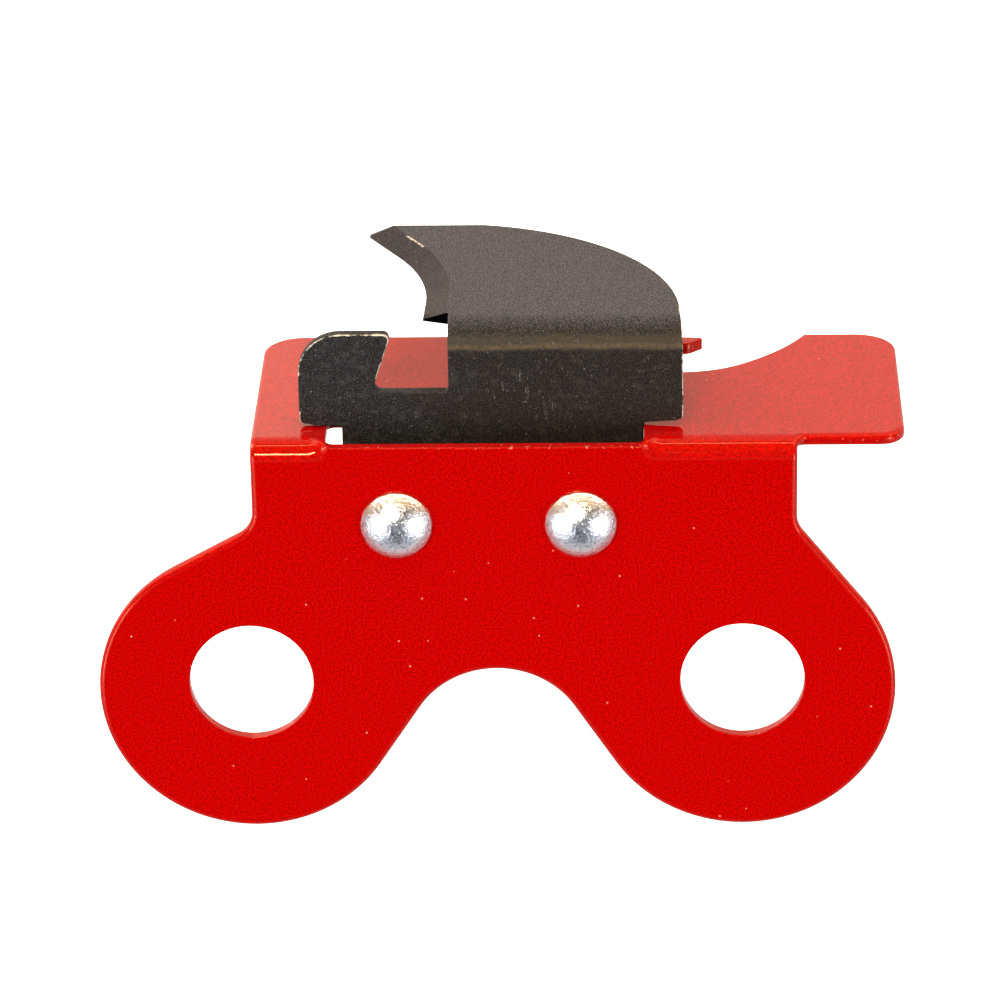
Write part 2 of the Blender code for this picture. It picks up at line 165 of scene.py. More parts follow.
# Edges and fineness of the meshes
PAINT_EDGE_FRONT = 0.7      # radius of the painted edges, rolled over in front by the punch
PAINT_EDGE_BACK = 0.4
HOLE_EDGE = 0.15            # the holes' edges and the slot's are tighter
SLOT_EDGE = 0.2
CUT_EDGE_FRONT = 0.18       # radius of the hook plate's worn front edges
CUT_EDGE_BACK = 0.12
FLANGE_EDGE_LOSS = 0.5      # shares by which the edges' radii shrink on the flange and on its horn
HORN_EDGE_LOSS = 0.25
EDGE_LOSS_LENGTH = 5.0      # length over which they shrink
HORN_MARGIN = 1.0
BACK_EDGE_WEAR = 0.35       # wear of the back edges and the bevel's sharp edge. A front edge's is 1
SHARP_EDGE_WEAR = 0.3
SHARP_BACK_WEAR = 0.2
MITRE_LIMIT = 0.35          # keeps the mitres of sharp corners short
EDGE_STEPS = 4
EDGE_MARGIN = 0.05          # flat rim between the rounded edge and the face's own triangles
ARC_STEP = 3.0              # degrees
CORNER_STEP = 9.0
NOTCH_END_STEP = 7.5
HOLLOW_STEP = 2.0
HOLLOW_STRAIGHT_STEPS = 4
FOLD_STEPS = 24
JOGGLE_STEPS = 12
TWIST_STEPS = 10
DOME_STEPS = 32
TAIL_STEPS = 4
ROUND_STEPS = 96
ON_PLANE = 1e-4             # how near to a cutting plane a vertex counts as on it
SAME_POINT = 1e-6
TOLERANCE = 0.01
INSIDE_TRIANGLES = 1        # delaunay_2d_cdt's code for triangles inside the outline

# Where the looks change, in millimetres. A pair is (none, full)
STRIP_GLINT_Z = 31.8
WARM_X = (-20.0, 4.0)
BLADE_LOOK_Y = (5.8, 8.4)
WEB_LOOK_X = (-6.0, -5.4)
# Heights of the painted sheen and the painted highlight line on the hook plate's fold
FOLD_SHEEN_Z = 43.6
FOLD_HIGHLIGHT_Z = 43.1
FINGER_WEAR_X = (-11.0, -12.0)
FINGER_WEAR_Z = (38.0, 40.0)
RIGHT_WEAR_X = (22.6, 23.0)
CORNER_WEAR_X = (22.0, 22.9)
CORNER_WEAR_Z = (35.4, 34.4)
RIDGE_CHIP_X = (-8.0, -9.0)
RIDGE_CHIP_Y = 34.2
SCRATCHED_X = 3.0
SCRATCHED_Z = 39.0

# Camera, from the drawing's datum, and floor
CAMERA_POSITION = (18.468, -599.579, 293.622)
CAMERA_AHEAD = (-0.02688, 0.91220, -0.40886)
CAMERA_ROLL = -1.0          # degrees
CAMERA_LENS = 191.6
CAMERA_SENSOR = 36
FLOOR_SIZE = 60             # metres, like the floor's height
FLOOR_HEIGHT = -0.0002

# The drawing's datum in the shared frame, from the bracket's box
BRACKET_LOW, BRACKET_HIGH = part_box("bracket")
DATUM = Vector((BRACKET_HIGH.x - FLANGE_RIGHT * MM, BRACKET_LOW.y,
                BRACKET_LOW.z + (LOBE_RADIUS + LOBE_DROP) * MM))


# ---------------------------------------------------------------- plane geometry

def polar(centre, radius, degrees):
    """Point at an angle on a circle."""
    angle = math.radians(degrees)
    return (centre[0] + radius * math.cos(angle), centre[1] + radius * math.sin(angle))


def arc(centre, radius, start, end, step=ARC_STEP):
    """Points on a circle from one angle to another, both included."""
    count = max(2, math.ceil(abs(end - start) / step))
    return [polar(centre, radius, start + (end - start) * i / count) for i in range(count + 1)]


def rounded(before, corner, after, radius):
    """Points that round off a corner with an arc tangent to both of its sides."""
    here = Vector(corner)
    back = (Vector(before) - here).normalized()
    ahead = (Vector(after) - here).normalized()
    half = back.angle(ahead) / 2
    centre = here + (back + ahead).normalized() * (radius / math.sin(half))
    start = here + back * (radius / math.tan(half)) - centre
    end = here + ahead * (radius / math.tan(half)) - centre
    start_angle = math.degrees(math.atan2(start.y, start.x))
    end_angle = math.degrees(math.atan2(end.y, end.x))
    turn = (end_angle - start_angle + 180) % 360 - 180
    return arc(centre, radius, start_angle, start_angle + turn, CORNER_STEP)


def tangent_angle(centre, radius, point, side):
    """Angle on a circle at which a line from an outside point touches it, on the side +1 or -1."""
    away = Vector(point) - Vector(centre)
    reach = math.degrees(math.acos(radius / away.length))
    return math.degrees(math.atan2(away.y, away.x)) + side * reach


def circle(x, height, radius):
    return arc((x, height), radius, 0, 360, 360 / ROUND_STEPS)[:-1]


def signed_area(loop):
    return sum(a[0] * b[1] - b[0] * a[1] for a, b in zip(loop, loop[1:] + loop[:1])) / 2


def is_inside(point, loop):
    """True if a point lies inside a closed loop, by the number of sides that a ray from it crosses."""
    crossings = 0
    for (x0, y0), (x1, y1) in zip(loop, loop[1:] + loop[:1]):
        if (y0 > point.y) != (y1 > point.y):
            crossings += point.x < x0 + (point.y - y0) * (x1 - x0) / (y1 - y0)
    return crossings % 2 == 1


def smooth_step(value):
    value = min(1.0, max(0.0, value))
    return value * value * (3 - 2 * value)


# ---------------------------------------------------------------- folded sheet

class Fold:
    """One fold along x that turns the top of an upright sheet backwards.

    A joggle (bottom, top, step) below it brings the sheet's foot forward by the step.
    """

    def __init__(self, front, top, radius, joggle=None):
        self.front = front
        self.top = top
        self.joggle = joggle
        self.radius = radius
        self.start = top - radius
        self.length = math.pi / 2 * (radius - SHEET / 2)
        self.end = self.start + self.length

    def height(self, y):
        """Height on the blank of a point that ends up at y on the folded part."""
        return self.end + y - self.front - self.radius

    def height_at_angle(self, degrees):
        """Height on the blank of a point that lies this far round the fold."""
        return self.start + self.length * degrees / 90

    def joggled(self, height):
        """How far the sheet is set forward at a height."""
        if self.joggle is None:
            return 0.0
        bottom, top, step = self.joggle
        return step * smooth_step((top - height) / (top - bottom))

    def place(self, x, height, depth):
        """Folded position of a blank's point, at a depth under its front and top face."""
        if height <= self.start:
            return Vector((x, self.front + depth - self.joggled(height), height))
        if height >= self.end:
            y = self.front + self.radius + height - self.end
            return Vector((x, y, self.top - depth))
        angle = (height - self.start) / self.length * math.pi / 2
        reach = self.radius - depth
        y = self.front + self.radius - reach * math.cos(angle)
        return Vector((x, y, self.start + reach * math.sin(angle)))


def inward(loop):
    """For each point of a loop, the mitred step of one unit towards the left of its direction."""
    steps = []
    for before, here, after in zip(loop[-1:] + loop[:-1], loop, loop[1:] + loop[:1]):
        came = (Vector(here) - Vector(before)).normalized()
        goes = (Vector(after) - Vector(here)).normalized()
        left_before = Vector((-came.y, came.x))
        left_after = Vector((-goes.y, goes.x))
        steps.append((left_before + left_after) / max(MITRE_LIMIT, 1 + left_before.dot(left_after)))
    return steps


def edge_rows(front_radius, back_radius):
    """The rounded edge's section from the front face to the back: (inset, depth, wear). The wear value also
    places the red paint's painted glints.
    """
    rows = [(front_radius + EDGE_MARGIN, 0.0, 0.0)]
    for i in range(EDGE_STEPS + 1):
        angle = math.radians(90 * i / EDGE_STEPS)
        wear_and_glint = math.sin(2 * angle) * 0.5 + 0.5
        rows.append((front_radius * (1 - math.sin(angle)), front_radius * (1 - math.cos(angle)), wear_and_glint))
    for i in range(EDGE_STEPS + 1):
        angle = math.radians(90 * i / EDGE_STEPS)
        depth = SHEET - back_radius * (1 - math.sin(angle))
        rows.append((back_radius * (1 - math.cos(angle)), depth, BACK_EDGE_WEAR * math.sin(2 * angle)))
    rows.append((back_radius + EDGE_MARGIN, SHEET, 0.0))
    return rows


def bevel_rows(ridge, ridge_step, point, step, rows):
    """The section where a wide bevel runs from a ridge on the front face down to a sharp edge."""
    edge = Vector(point)
    width = (Vector(ridge) - edge).length
    up = (Vector(ridge) - edge) / width
    deep = SHEET - BEVEL_EDGE
    made = []
    rim = rows[0][0]
    for inset, wear_and_glint in ((rim, 0.0), (rim / 2, 0.3)):
        place = Vector(ridge) + ridge_step * inset
        made.append((place.x, place.y, 0.0, wear_and_glint, 0.0))
    for reach, wear_and_glint in ((width - RIDGE_WORN, 1.0), (width - RIDGE_UNWORN, 0.1), (BEVEL_MIDDLE * width, 0.0),
                        (0.0, SHARP_EDGE_WEAR)):
        place = edge + up * reach
        made.append((place.x, place.y, deep * (1 - reach / width), wear_and_glint, 1.0))
    for inset, depth, _ in rows[len(made):]:
        made.append((point[0] + step.x * inset, point[1] + step.y * inset, depth, SHARP_BACK_WEAR, 0.0))
    return made


def plate(name, fold, outline, holes, edges, place, ridges=None, cuts=(), slimness=None):
    """A folded sheet with rounded edges, as an object on the datum.

    edges lists the (front, back) edge radius of the outline and then of each hole. place(x, height, depth)
    folds a point, ridges maps an outline point's number to its point on a wide bevel's ridge, and cuts are
    extra x at which the mesh is divided. slimness(point) shrinks the edge radii where the sheet is narrow.
    """
    flat = bmesh.new()
    wear_layer = flat.verts.layers.float.new("wear_and_glint")
    ground_layer = flat.verts.layers.float.new("ground")
    front_loops = []
    back_loops = []
    for number, loop in enumerate([outline] + holes):
        pairs = [(point, ridges.get(i, point) if ridges and number == 0 else point)
                 for i, point in enumerate(loop)]
        if (signed_area(loop) < 0) == (number == 0):
            pairs.reverse()
        steps = inward([point for point, _ in pairs])
        ridge_steps = inward([ridge for _, ridge in pairs])
        rings = []
        for (point, ridge), step, ridge_step in zip(pairs, steps, ridge_steps):
            share = slimness(point) if slimness else 1.0
            rows = edge_rows(*(radius * share for radius in edges[number]))
            if ridge == point:
                section = [(point[0] + step.x * inset, point[1] + step.y * inset, depth, wear_and_glint, 0.0)
                           for inset, depth, wear_and_glint in rows]
            else:
                section = bevel_rows(ridge, ridge_step, point, step, rows)
            ring = []
            for x, height, depth, wear_and_glint, ground in section:
                vertex = flat.verts.new((x, height, -depth))
                vertex[wear_layer] = wear_and_glint
                vertex[ground_layer] = ground
                ring.append(vertex)
            rings.append(ring)
        for a, b in zip(rings, rings[1:] + rings[:1]):
            for j in range(len(a) - 1):
                flat.faces.new([a[j], a[j + 1], b[j + 1], b[j]])
        front_loops.append([ring[0] for ring in rings])
        back_loops.append([ring[-1] for ring in rings])
    cap(flat, front_loops, False)
    cap(flat, back_loops, True)

    heights = [fold.start + fold.length * i / FOLD_STEPS for i in range(FOLD_STEPS + 1)]
    if fold.joggle:
        bottom, top, _ = fold.joggle
        heights += [bottom + (top - bottom) * i / JOGGLE_STEPS for i in range(JOGGLE_STEPS + 1)]
    planes = [((0, height, 0), (0, 1, 0)) for height in heights] + [((x, 0, 0), (1, 0, 0)) for x in cuts]
    for point, normal in planes:
        geometry = flat.verts[:] + flat.edges[:] + flat.faces[:]
        bmesh.ops.bisect_plane(flat, geom=geometry, dist=ON_PLANE, plane_co=point, plane_no=normal)
    bmesh.ops.triangulate(flat, faces=[f for f in flat.faces if len(f.verts) > 4])
    for vertex in flat.verts:
        vertex.co = place(vertex.co.x, vertex.co.y, -vertex.co.z) * MM
    bmesh.ops.recalc_face_normals(flat, faces=flat.faces[:])
    mesh = bpy.data.meshes.new(name)
    flat.to_mesh(mesh)
    flat.free()
    return finished(name, mesh)


def cap(flat, loops, is_back):
    """Fills a face between its loops of vertices with triangles."""
    vertices = [v for loop in loops for v in loop]
    points = [Vector((v.co.x, v.co.y)) for v in vertices]
    edges = []
    first = 0
    for loop in loops:
        count = len(loop)
        edges += [(first + i, first + (i + 1) % count) for i in range(count)]
        first += count
    _, _, faces, origins, _, _ = delaunay_2d_cdt(points, edges, [], INSIDE_TRIANGLES, SAME_POINT)
    holes = [[(v.co.x, v.co.y) for v in loop] for loop in loops[1:]]
    for face in faces:
        corners = [origins[i][0] for i in face]
        middle = sum((points[i] for i in corners), Vector((0, 0))) / 3
        if not any(is_inside(middle, hole) for hole in holes):
            order = reversed(corners) if is_back else corners
            flat.faces.new([vertices[i] for i in order])


def finished(name, mesh, location=(0, 0, 0)):
    """An object for a mesh that is placed from the datum, with smooth shading that keeps its flats flat."""
    mesh.shade_smooth()
    piece = bpy.data.objects.new(name, mesh)
    bpy.context.scene.collection.objects.link(piece)
    piece.location = DATUM + Vector(location) * MM
    normals = piece.modifiers.new("flat_faces_stay_flat", "WEIGHTED_NORMAL")
    normals.weight = 100
    return piece


# ---------------------------------------------------------------- bracket

BRACKET_FOLD = Fold(0, FLANGE_TOP, FOLD_RADIUS)


def front_plate_outline():
    """From the right end of the neck, down round both lobes and up to the left end of the neck."""
    lobe_right = (LOBE_SPACING / 2, -LOBE_DROP)
    lobe_left = (-LOBE_SPACING / 2, -LOBE_DROP)
    arch = (0, ARCH_TOP - ARCH_RADIUS)
    right_corner = (NECK_RIGHT, SHOULDER_HEIGHT)
    left_corner = (NECK_LEFT, SHOULDER_HEIGHT)

    right_touch = tangent_angle(lobe_right, LOBE_RADIUS, right_corner, -1)
    left_touch = tangent_angle(lobe_left, LOBE_RADIUS, left_corner, 1)

    # The straight flanks touch a lobe on one side and the arch on the other
    centres = Vector(arch) - Vector(lobe_left)
    flank = math.degrees(math.acos((LOBE_RADIUS + ARCH_RADIUS) / centres.length))
    lean = math.degrees(math.atan2(centres.y, centres.x))
    left_flank = lean - flank
    right_flank = 180 - left_flank

    points = rounded((NECK_RIGHT, FLANGE_TOP), right_corner, polar(lobe_right, LOBE_RADIUS, right_touch),
                     SHOULDER_FILLET)
    points += arc(lobe_right, LOBE_RADIUS, right_touch, right_flank - 360)
    points += arc(arch, ARCH_RADIUS, right_flank - 180, left_flank + 180)
    points += arc(lobe_left, LOBE_RADIUS, left_flank, left_touch - 360)
    points += rounded(polar(lobe_left, LOBE_RADIUS, left_touch), left_corner, (NECK_LEFT, FLANGE_TOP),
                      SHOULDER_FILLET)
    return points


def notch_outline():
    """The notch's edge in the flange, from the horn round to the ramp's end, as (x, y) on the part."""
    end_radius = (NOTCH_FAR - NOTCH_NEAR) / 2
    end_centre = (NOTCH_END_X, NOTCH_NEAR + end_radius)
    horn_root = (NOTCH_END_X, FLANGE_BACK)
    horn_tip = (HORN_TIP_X, FLANGE_BACK - HORN_DROP)
    horn_near = (HORN_TIP_X - HORN_TAPER, NOTCH_FAR)
    bend_centre = (NOTCH_BEND_X, NOTCH_NEAR + NOTCH_BEND_RADIUS)
    bend_end = polar(bend_centre, NOTCH_BEND_RADIUS, NOTCH_BEND_ANGLE - 90)
    ramp_centre = polar(bend_end, NOTCH_RAMP_RADIUS, NOTCH_BEND_ANGLE + 90)
    ramp_end = math.degrees(math.asin((FLANGE_BACK - ramp_centre[1]) / NOTCH_RAMP_RADIUS))

    points = [horn_root]
    points += rounded(horn_root, horn_tip, horn_near, HORN_TIP_RADIUS)
    points += rounded(horn_tip, horn_near, (NOTCH_END_X, NOTCH_FAR), HORN_NEAR_RADIUS)
    points += arc(end_centre, end_radius, 90, 270, NOTCH_END_STEP)
    points += arc(bend_centre, NOTCH_BEND_RADIUS, -90, NOTCH_BEND_ANGLE - 90)
    points += arc(ramp_centre, NOTCH_RAMP_RADIUS, NOTCH_BEND_ANGLE - 90, ramp_end)[1:]
    return points


def flange_outline():
    """From the left end of the fold round the flange to the right end of the neck, on the blank."""
    back = BRACKET_FOLD.height(FLANGE_BACK)
    ear_front = BRACKET_FOLD.height_at_angle(EAR_FRONT_ANGLE)
    rear_left = (NECK_LEFT, back)
    rear_right = (FLANGE_RIGHT, back)
    front_right = (FLANGE_RIGHT, ear_front)
    relief = (NECK_RIGHT, ear_front)

    points = rounded((NECK_LEFT, 0), rear_left, (0, back), FLANGE_REAR_RADIUS)
    points += [(x, BRACKET_FOLD.height(y)) for x, y in notch_outline()]
    points += rounded((0, back), rear_right, front_right, FLANGE_REAR_RADIUS)
    points += rounded(rear_right, front_right, relief, EAR_CORNER_RADIUS)
    points += rounded(front_right, relief, (NECK_RIGHT, 0), RELIEF_RADIUS)
    return points


def slot_outline():
    """The slot from the top of its strip to its back edge, on the blank."""
    low = STRIP_TOP
    high = BRACKET_FOLD.height(SLOT_BACK)
    corners = [(SLOT_LEFT, low), (SLOT_RIGHT, low), (SLOT_RIGHT, high), (SLOT_LEFT, high)]
    points = []
    for before, corner, after in zip(corners[-1:] + corners[:-1], corners, corners[1:] + corners[:1]):
        points += rounded(before, corner, after, SLOT_CORNER_RADIUS)
    return points


def place_on_bracket(x, height, depth):
    """Folds the blank, but leaves the strip under the slot upright, with ends that run out into the fold."""
    folded = BRACKET_FOLD.place(x, height, depth)
    beyond_end = max(SLOT_LEFT - x, x - SLOT_RIGHT) / STRIP_TWIST + STRIP_TWIST_EARLY
    above_strip = (height - STRIP_TOP) / STRIP_RISE
    share = max(smooth_step(beyond_end), smooth_step(above_strip))
    upright = Vector((x, depth, height))
    return upright.lerp(folded, share)


def flange_slimness(point):
    """The flange's edges are rounded less than the front plate's, and those of the narrow horn least."""
    x, height = point
    share = 1.0 - FLANGE_EDGE_LOSS * smooth_step((height - BRACKET_FOLD.end) / EDGE_LOSS_LENGTH)
    before_horn = height < BRACKET_FOLD.height(NOTCH_FAR - HORN_MARGIN / 2)
    if before_horn or x < NOTCH_END_X or x > HORN_TIP_X + HORN_MARGIN:
        return share
    return share - HORN_EDGE_LOSS * smooth_step((x - NOTCH_END_X) / EDGE_LOSS_LENGTH)


def make_bracket():
    holes = [circle(side * EYE_SPACING / 2, 0, EYE_RADIUS) for side in (-1, 1)]
    holes += [circle(x, RIVET_Z, RIVET_SHANK_RADIUS + GAP) for x in RIVET_X.values()]
    holes.append(slot_outline())
    outline = front_plate_outline() + flange_outline()
    cuts = []
    for end, side in ((SLOT_LEFT, -1), (SLOT_RIGHT, 1)):
        cuts += [end + side * STRIP_TWIST * (i / TWIST_STEPS - STRIP_TWIST_EARLY)
                 for i in range(TWIST_STEPS + 1)]
    edges = [(PAINT_EDGE_FRONT, PAINT_EDGE_BACK)] + [(HOLE_EDGE, HOLE_EDGE)] * (len(holes) - 1)
    edges.append((SLOT_EDGE, SLOT_EDGE))
    return plate("painted_bracket", BRACKET_FOLD, outline, holes, edges, place_on_bracket, cuts=cuts,
                 slimness=flange_slimness)


# ---------------------------------------------------------------- hook plate

BLADE_FOLD = Fold(WEB_FRONT, BLADE_TOP, BLADE_FOLD_RADIUS,
                  (JOGGLE_BOTTOM, JOGGLE_TOP, WEB_FRONT - TANG_FRONT))


def hollow_edge(radius, tip_cut):
    """The blade's hollow edge at a radius, from beside the web to the tip, as (x, y) on the part."""

    # The start is where the leaning straight part meets the sloping relief beside the web
    centre_x, centre_y = HOLLOW_CENTRE
    lowest = centre_x + radius - HOLLOW_LEAN * (centre_y - RELIEF_FRONT - RELIEF_SLOPE * HOOK_WALL_X)
    start_x = lowest / (1 + HOLLOW_LEAN * RELIEF_SLOPE)
    start_y = RELIEF_FRONT + RELIEF_SLOPE * (HOOK_WALL_X - start_x)
    across = centre_x + radius - start_x
    along = centre_y - start_y
    points = []
    for i in range(HOLLOW_STRAIGHT_STEPS):
        share = i / HOLLOW_STRAIGHT_STEPS
        points.append((start_x + across * share, start_y + along * share))

    points += arc(HOLLOW_CENTRE, radius, 0, HOLLOW_END_ANGLE, HOLLOW_STEP)
    x, y = points[-1]
    slope = math.tan(math.radians(HOLLOW_END_ANGLE))
    tip_x = x - (BLADE_BACK - y) * slope + tip_cut
    points.append((tip_x, BLADE_BACK - tip_cut / slope))
    points.append((tip_x, BLADE_BACK))
    return points


def hook_plate_outline():
    """The hook plate's blank, clockwise from the tang's lower left corner, and the bevel's ridge points."""
    tang_left = (NECK_LEFT_X, TANG_BOTTOM)
    tang_right = (NECK_RIGHT_X, TANG_BOTTOM)
    neck_left = (NECK_LEFT_X, SHOULDER_LEFT_Z[1])
    neck_right = (NECK_RIGHT_X, SHOULDER_RIGHT_Z[1])
    web_low_left = (WEB_LEFT, SHOULDER_LEFT_Z[0])
    web_low_right = (WEB_RIGHT, SHOULDER_RIGHT_Z[0])
    finger_left = (WEB_LEFT, FINGER_TOP)
    finger_tip = (FINGER_TIP_X, FINGER_TOP)
    finger_foot = (FINGER_FOOT_X, HOOK_FLOOR)
    hook_corner = (HOOK_WALL_X, HOOK_FLOOR)
    wall_top = (HOOK_WALL_X, BLADE_FOLD.height(RELIEF_FRONT))

    points = rounded(tang_right, tang_left, neck_left, TANG_CORNER_RADIUS)
    points.append(neck_left)
    points += rounded(neck_left, web_low_left, finger_left, WEB_CORNER_RADIUS)
    points += rounded(web_low_left, finger_left, finger_tip, FINGER_RADIUS)
    points += rounded(finger_left, finger_tip, finger_foot, WEB_CORNER_RADIUS)
    points += rounded(finger_tip, finger_foot, hook_corner, HOOK_FLOOR_RADIUS)
    points += rounded(finger_foot, hook_corner, wall_top, HOOK_WALL_RADIUS)
    points.append(wall_top)

    lower = [(x, BLADE_FOLD.height(y)) for x, y in hollow_edge(HOLLOW_RADIUS, TIP_CUT)]
    upper = [(x, BLADE_FOLD.height(y)) for x, y in hollow_edge(HOLLOW_RADIUS + BEVEL_WIDTH, RIDGE_TIP_CUT)]
    ridges = {len(points) + i: ridge for i, ridge in enumerate(upper)}
    points += lower

    blade_right = WEB_RIGHT - BLADE_STEP
    centre = (blade_right - BLADE_RADIUS, BLADE_CENTRE_Y)
    back_angle = math.degrees(math.asin((BLADE_BACK - BLADE_CENTRE_Y) / BLADE_RADIUS))
    points += [(x, BLADE_FOLD.height(y)) for x, y in arc(centre, BLADE_RADIUS, back_angle, 0)]
    points.append((WEB_RIGHT, BLADE_FOLD.start))
    points += rounded((WEB_RIGHT, BLADE_FOLD.end), web_low_right, neck_right, WEB_CORNER_RADIUS)
    points.append(neck_right)
    points += rounded(neck_right, tang_right, tang_left, TANG_CORNER_RADIUS)
    return points, ridges


def place_on_hook_plate(x, height, depth):
    """Folds the blade's blank, but leaves the hook's finger upright beside the fold."""
    if x < (FINGER_TIP_X + HOOK_WALL_X) / 2 and height < FINGER_TOP + TOLERANCE:
        return Vector((x, WEB_FRONT + depth - BLADE_FOLD.joggled(height), height))
    return BLADE_FOLD.place(x, height, depth)


def make_hook_plate():
    holes = [circle(x, RIVET_Z, RIVET_SHANK_RADIUS + GAP) for x in RIVET_X.values()]
    outline, ridges = hook_plate_outline()
    edges = [(CUT_EDGE_FRONT, CUT_EDGE_BACK)] * (1 + len(holes))
    return plate("blackened_hook_plate", BLADE_FOLD, outline, holes, edges, place_on_hook_plate,
                 ridges=ridges)


# ---------------------------------------------------------------- rivets

def make_rivet(name, x):
    """A dome-head rivet turned about y, seated on the front plate, with its tail formed behind the tang."""
    dome = RIVET_HEAD_HEIGHT - RIVET_RIM
    sphere = (RIVET_HEAD_RADIUS ** 2 + dome ** 2) / (2 * dome)
    spread = math.degrees(math.asin(RIVET_HEAD_RADIUS / sphere))
    rim_front = -RIVET_SEAT - RIVET_RIM
    tail_front = TANG_FRONT + SHEET + RIVET_SEAT
    tail_back = tail_front + RIVET_TAIL_HEIGHT

    profile = []
    for i in range(DOME_STEPS):
        angle = math.radians(spread * (i + 1) / DOME_STEPS)
        profile.append((sphere * math.sin(angle), rim_front - dome + sphere * (1 - math.cos(angle))))
    profile[-1] = (RIVET_HEAD_RADIUS - RIVET_LIP / 2, profile[-1][1] - RIVET_LIP / 2)
    profile += [
        (RIVET_HEAD_RADIUS, rim_front + RIVET_LIP),
        (RIVET_HEAD_RADIUS, -RIVET_SEAT - RIVET_LIP),
        (RIVET_HEAD_RADIUS - RIVET_LIP / 2, -RIVET_SEAT),
        (RIVET_SHANK_RADIUS, -RIVET_SEAT),
        (RIVET_SHANK_RADIUS, tail_front),
        (RIVET_TAIL_RADIUS - RIVET_LIP, tail_front),
    ]
    for i in range(TAIL_STEPS + 1):
        angle = math.radians(90 * i / TAIL_STEPS)
        profile.append((RIVET_TAIL_RADIUS - RIVET_TAIL_EDGE * (1 - math.cos(angle)),
                        tail_back - RIVET_TAIL_EDGE * (1 - math.sin(angle))))
    profile.append((RIVET_TAIL_RADIUS * RIVET_TAIL_FLAT, tail_back))

    turned = bmesh.new()
    rings = []
    for radius, y in profile:
        ring = [polar((0, 0), radius, 360 * i / ROUND_STEPS) for i in range(ROUND_STEPS)]
        rings.append([turned.verts.new((px * MM, y * MM, pz * MM)) for px, pz in ring])
    apex = turned.verts.new((0, (rim_front - dome) * MM, 0))
    tail = turned.verts.new((0, tail_back * MM, 0))
    for i in range(ROUND_STEPS):
        after = (i + 1) % ROUND_STEPS
        turned.faces.new([apex, rings[0][i], rings[0][after]])
        turned.faces.new([tail, rings[-1][after], rings[-1][i]])
        for inner, outer in zip(rings, rings[1:]):
            turned.faces.new([inner[i], outer[i], outer[after], inner[after]])
    bmesh.ops.recalc_face_normals(turned, faces=turned.faces[:])
    mesh = bpy.data.meshes.new(name)
    turned.to_mesh(mesh)
    turned.free()
    return finished(name, mesh, (x, 0, RIVET_Z))


# ---------------------------------------------------------------- materials

class Nodes:
    """Short helpers that add nodes to one node tree and link them."""

    def __init__(self, tree):
        self.tree = tree

    def put(self, value, socket):
        """Links another node's output to a socket, or sets the socket to a value."""
        if isinstance(value, bpy.types.NodeSocket):
            self.tree.links.new(value, socket)
        else:
            socket.default_value = value

    def add(self, kind, inputs=None, **settings):
        node = self.tree.nodes.new(kind)
        for name, value in settings.items():
            setattr(node, name, value)
        for name, value in (inputs or {}).items():
            self.put(value, node.inputs[name])
        return node

    def math(self, operation, *values):
        return self.add("ShaderNodeMath", dict(enumerate(values)), operation=operation).outputs[0]

    def ramp(self, value, low, high, to_low=0.0, to_high=1.0, smooth=True):
        kind = "SMOOTHSTEP" if smooth else "LINEAR"
        inputs = {"Value": value, "From Min": low, "From Max": high, "To Min": to_low, "To Max": to_high}
        return self.add("ShaderNodeMapRange", inputs, interpolation_type=kind).outputs[0]

    def band(self, value, centre, half, soft):
        """1 within half of the centre and 0 beyond it, with soft ends."""
        offset = self.math("ABSOLUTE", self.math("SUBTRACT", value, centre))
        return self.ramp(offset, half - soft, half + soft, 1.0, 0.0)

    def noise(self, vector, scale, detail=2.0, roughness=0.5):
        inputs = {"Vector": vector, "Scale": scale, "Detail": detail, "Roughness": roughness}
        return self.add("ShaderNodeTexNoise", inputs).outputs["Fac"]

    def mix(self, factor, a, b):
        """Mixes two colours."""
        return self.add("ShaderNodeMix", {0: factor, 6: a, 7: b}, data_type="RGBA").outputs[2]

    def coordinates(self, stretch=(1, 1, 1), turn=(0, 0, 0)):
        """Object coordinates in metres, stretched and turned."""
        place = self.add("ShaderNodeTexCoord").outputs["Object"]
        return self.add("ShaderNodeMapping", {"Vector": place, "Scale": stretch, "Rotation": turn}).outputs[0]

    def attribute(self, name):
        return self.add("ShaderNodeAttribute", attribute_name=name).outputs["Fac"]


def rgb(red, green, blue):
    return (red, green, blue, 1.0)


def new_material(name):
    """A material, the helper for its nodes, and the inputs of its shader."""
    made = bpy.data.materials.new(name)
    made.use_nodes = True
    return made, Nodes(made.node_tree), made.node_tree.nodes["Principled BSDF"].inputs


